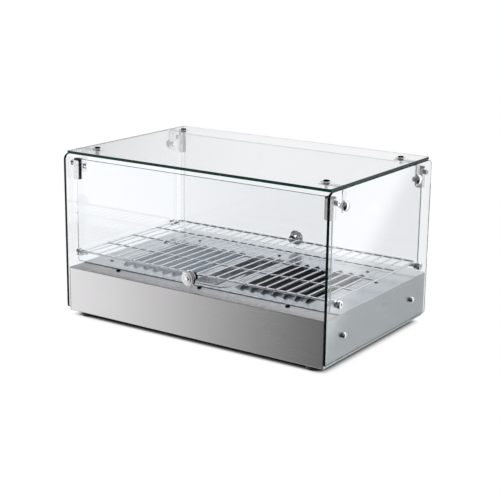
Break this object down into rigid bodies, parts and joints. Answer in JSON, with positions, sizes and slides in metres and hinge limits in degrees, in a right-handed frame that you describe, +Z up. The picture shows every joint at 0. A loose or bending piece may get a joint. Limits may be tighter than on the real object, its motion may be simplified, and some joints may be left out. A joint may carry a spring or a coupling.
{
  "type": "hot food display case",
  "caption": "Countertop heated display case: stainless base with louvred deck and water pan, glass sides and top, front and rear flap doors, wire rack.",
  "frame": {"origin": "centre of the footprint, on the plane that the rubber feet stand on", "axes": "+X to the right seen from the front, +Y towards the rear, +Z up"},
  "size_m": [0.5656, 0.3742, 0.3119],
  "materials": {
    "brushed_stainless": "fine straight brushing along the width, satin",
    "bright_stainless": "bright rolled finish",
    "zinc_steel": "zinc plated, dull",
    "chrome": "polished",
    "heater_sheath": "heat tinted, matt",
    "clear_glass": "clear tempered, polished edges with a green tint",
    "black_rubber": "matt",
    "black_plastic": "fine moulded grain",
    "cream_plastic": "moulded",
    "amber_lens": "translucent, glossy"
  },
  "bodies": {
    "case": {"front_panel": "brushed_stainless", "rear_panel": "brushed_stainless", "left_side_panel": "brushed_stainless", "right_side_panel": "brushed_stainless", "deck_plate": "brushed_stainless", "bottom_plate": "zinc_steel", "heater_tray": "zinc_steel", "left_heating_element": "heater_sheath", "right_heating_element": "heater_sheath", "thermostat_body": "cream_plastic", "terminal_block": "cream_plastic", "switch_housing": "black_plastic", "cord_gland": "black_plastic", "pilot_lamp": "amber_lens", "left_pane": "clear_glass", "right_pane": "clear_glass", "top_pane": "clear_glass", "front_left_bracket": "bright_stainless", "front_left_top_bolt": "chrome", "front_left_side_bolt": "chrome", "front_left_rack_stud": "chrome", "front_left_base_bolt": "chrome", "front_left_hinge_pivot": "chrome", "front_left_foot": "black_rubber", "front_right_bracket": "bright_stainless", "front_right_top_bolt": "chrome", "front_right_side_bolt": "chrome", "front_right_rack_stud": "chrome", "front_right_base_bolt": "chrome", "front_right_hinge_pivot": "chrome", "front_right_foot": "black_rubber", "rear_left_bracket": "bright_stainless", "rear_left_top_bolt": "chrome", "rear_left_side_bolt": "chrome", "rear_left_rack_stud": "chrome", "rear_left_base_bolt": "chrome", "rear_left_hinge_pivot": "chrome", "rear_left_foot": "black_rubber", "rear_right_bracket": "bright_stainless", "rear_right_top_bolt": "chrome", "rear_right_side_bolt": "chrome", "rear_right_rack_stud": "chrome", "rear_right_base_bolt": "chrome", "rear_right_hinge_pivot": "chrome", "rear_right_foot": "black_rubber"},
    "front_door": {"front_door_pane": "clear_glass", "front_left_hinge_clip": "bright_stainless", "front_right_hinge_clip": "bright_stainless", "front_door_knob": "chrome", "front_knob_screw": "chrome"},
    "rear_door": {"rear_door_pane": "clear_glass", "rear_left_hinge_clip": "bright_stainless", "rear_right_hinge_clip": "bright_stainless", "rear_door_knob": "chrome", "rear_knob_screw": "chrome"},
    "dial": {"thermostat_knob": "black_plastic", "thermostat_shaft": "zinc_steel"},
    "rocker": {"switch_rocker": "black_plastic"},
    "rack": {"wire_rack": "chrome"},
    "pan": {"water_pan": "bright_stainless"}
  },
  "joints": [
    {"name": "front_door_hinge", "type": "hinge", "parent": "case", "child": "front_door", "pos_m": [0, -0.157, 0.2837], "axis": [-1, 0, 0], "range_deg": [0, 120]},
    {"name": "rear_door_hinge", "type": "hinge", "parent": "case", "child": "rear_door", "pos_m": [0, 0.157, 0.2837], "axis": [1, 0, 0], "range_deg": [0, 120]},
    {"name": "thermostat_turn", "type": "hinge", "parent": "case", "child": "dial", "pos_m": [-0.15, 0.1775, 0.05], "axis": [0, -1, 0], "range_deg": [0, 270]},
    {"name": "switch_rock", "type": "hinge", "parent": "case", "child": "rocker", "pos_m": [-0.07, 0.1751, 0.05], "axis": [1, 0, 0], "range_deg": [0, 14]},
    {"name": "rack_lift", "type": "slide", "parent": "case", "child": "rack", "axis": [0, 0, 1], "range_m": [0, 0.1]},
    {"name": "pan_lift", "type": "slide", "parent": "case", "child": "pan", "axis": [0, 0, 1], "range_m": [0, 0.018]}
  ]
}
